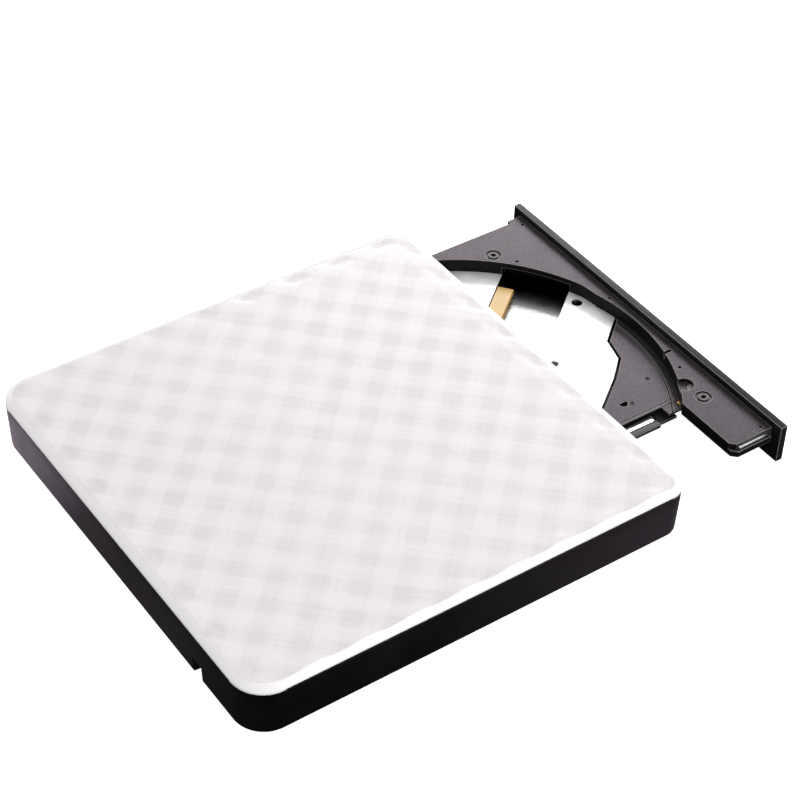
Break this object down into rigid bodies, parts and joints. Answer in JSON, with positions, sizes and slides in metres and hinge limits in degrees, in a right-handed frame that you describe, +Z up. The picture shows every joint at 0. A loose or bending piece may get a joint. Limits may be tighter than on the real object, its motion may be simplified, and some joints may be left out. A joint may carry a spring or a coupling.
{
  "type": "external optical drive",
  "caption": "Slim disc drive in a white-topped black case: a latched tray on telescopic rails with spindle, laser sled and bezel, cable notch at the rear.",
  "frame": {"origin": "centre of the base's flat underside", "axes": "+X to the right seen from the front, +Y towards the rear (the tray opens towards -Y), +Z up"},
  "size_m": [0.1372, 0.1799, 0.0175],
  "materials": {
    "shell_plastic": "black satin moulded plastic, fine texture",
    "cover_plastic": "white glossy moulded plastic with a woven plaid relief",
    "foot_rubber": "matte black rubber",
    "screw_steel": "zinc plated",
    "gland_rubber": "matte black moulded rubber",
    "board_green": "green solder mask",
    "chip_black": "black moulding compound",
    "connector_black": "black connector plastic",
    "foam_grey": "open-cell foam",
    "chassis_steel": "zinc-coated sheet",
    "guide_plastic": "black slippery plastic",
    "rail_steel": "bright stainless strip",
    "flex_amber": "amber polyimide film",
    "tray_plastic": "charcoal moulded plastic with a fine speckle",
    "deck_steel": "bright plated sheet",
    "pan_steel": "bright plated sheet",
    "bezel_plastic": "charcoal moulded plastic",
    "led_clear": "clear green light pipe",
    "button_plastic": "charcoal moulded plastic",
    "copper_coil": "enamelled copper winding",
    "latch_plastic": "natural acetal",
    "spring_brass": "phosphor bronze",
    "motor_steel": "plated steel",
    "turntable_plastic": "dark moulded plastic",
    "ring_rubber": "soft black rubber",
    "claw_plastic": "natural acetal",
    "rod_chrome": "ground and polished",
    "holder_plastic": "dark moulded plastic",
    "screw_bronze": "machined",
    "sled_metal": "die-cast",
    "lens_holder_black": "black moulded plastic",
    "lens_glass": "coated, faint blue"
  },
  "bodies": {
    "housing": {"base_shell": "shell_plastic", "top_cover": "cover_plastic", "foot_rear_left": "foot_rubber", "foot_rear_right": "foot_rubber", "foot_front_left": "foot_rubber", "foot_front_right": "foot_rubber", "case_screw_left": "screw_steel", "case_screw_right": "screw_steel", "cable_gland": "gland_rubber", "bridge_board": "board_green", "bridge_chip": "chip_black", "sata_socket": "connector_black", "foam_pad_front": "foam_grey", "foam_pad_rear": "foam_grey", "chassis_pan": "chassis_steel", "chassis_lid": "chassis_steel", "main_board": "board_green", "controller_chip": "chip_black", "motor_driver_chip": "chip_black", "sata_plug": "connector_black", "guide_left": "guide_plastic", "guide_right": "guide_plastic"},
    "slide_rails": {"rail_left": "rail_steel", "rail_right": "rail_steel", "tray_flex": "flex_amber"},
    "tray": {"tray_frame": "tray_plastic", "deck_plate": "deck_steel", "under_cover": "pan_steel", "wing_rail": "rail_steel", "ground_spring": "spring_brass", "bezel": "bezel_plastic", "led_lens": "led_clear", "deck_screw_1": "screw_steel", "deck_screw_2": "screw_steel", "deck_screw_3": "screw_steel", "tray_board": "board_green", "eject_switch": "connector_black", "solenoid": "copper_coil", "spindle_base": "motor_steel", "guide_rod_a": "rod_chrome", "guide_rod_b": "rod_chrome", "rod_holder_1": "holder_plastic", "rod_holder_2": "holder_plastic", "rod_holder_3": "holder_plastic", "rod_holder_4": "holder_plastic", "stepper_motor": "motor_steel", "pickup_flex": "flex_amber"},
    "spindle": {"turntable": "turntable_plastic", "turntable_rubber": "ring_rubber", "disc_claw_1": "claw_plastic", "disc_claw_2": "claw_plastic", "disc_claw_3": "claw_plastic"},
    "sled": {"pickup_body": "sled_metal", "screw_follower": "claw_plastic"},
    "lens": {"lens_holder": "lens_holder_black", "objective_lens": "lens_glass"},
    "lead_screw": {"lead_screw": "screw_bronze"},
    "eject_button": {"eject_button": "button_plastic"},
    "latch": {"latch_hook": "latch_plastic"}
  },
  "joints": [
    {"name": "tray_slide", "type": "slide", "parent": "housing", "child": "tray", "axis": [0, -1, 0], "range_m": [-0.0408, 0.0692]},
    {"name": "rail_slide", "type": "slide", "parent": "housing", "child": "slide_rails", "axis": [0, -1, 0], "range_m": [-0.0204, 0.0346]},
    {"name": "spindle_spin", "type": "hinge", "parent": "tray", "child": "spindle", "pos_m": [-0.0006, -0.04455, 0.006], "axis": [0, 0, 1], "continuous": true},
    {"name": "sled_slide", "type": "slide", "parent": "tray", "child": "sled", "axis": [0.6252, -0.7804, 0], "range_m": [0, 0.0355], "deforming": ["pickup_flex"]},
    {"name": "lead_screw_spin", "type": "hinge", "parent": "tray", "child": "lead_screw", "pos_m": [0.00877, -0.03705, 0.0052], "axis": [0.6252, -0.7804, 0], "continuous": true},
    {"name": "lens_focus", "type": "slide", "parent": "sled", "child": "lens", "axis": [0, 0, 1], "range_m": [-0.0004, 0.0004], "stiffness_N_per_m": 40},
    {"name": "eject_button_press", "type": "slide", "parent": "tray", "child": "eject_button", "axis": [0, 1, 0], "range_m": [0, 0.0007], "stiffness_N_per_m": 500, "springref_m": -0.001},
    {"name": "latch_release", "type": "hinge", "parent": "tray", "child": "latch", "pos_m": [0.0532, -0.0928, 0.0081], "axis": [0, 0, -1], "range_deg": [0, 8], "stiffness_Nm_per_rad": 0.005, "springref_deg": -8.59}
  ],
  "couplings": [
    {"joint": "rail_slide", "follows": "tray_slide", "ratio": 0.5},
    {"joint": "lead_screw_spin", "follows": "sled_slide", "rad_per_m": 2094.4}
  ]
}
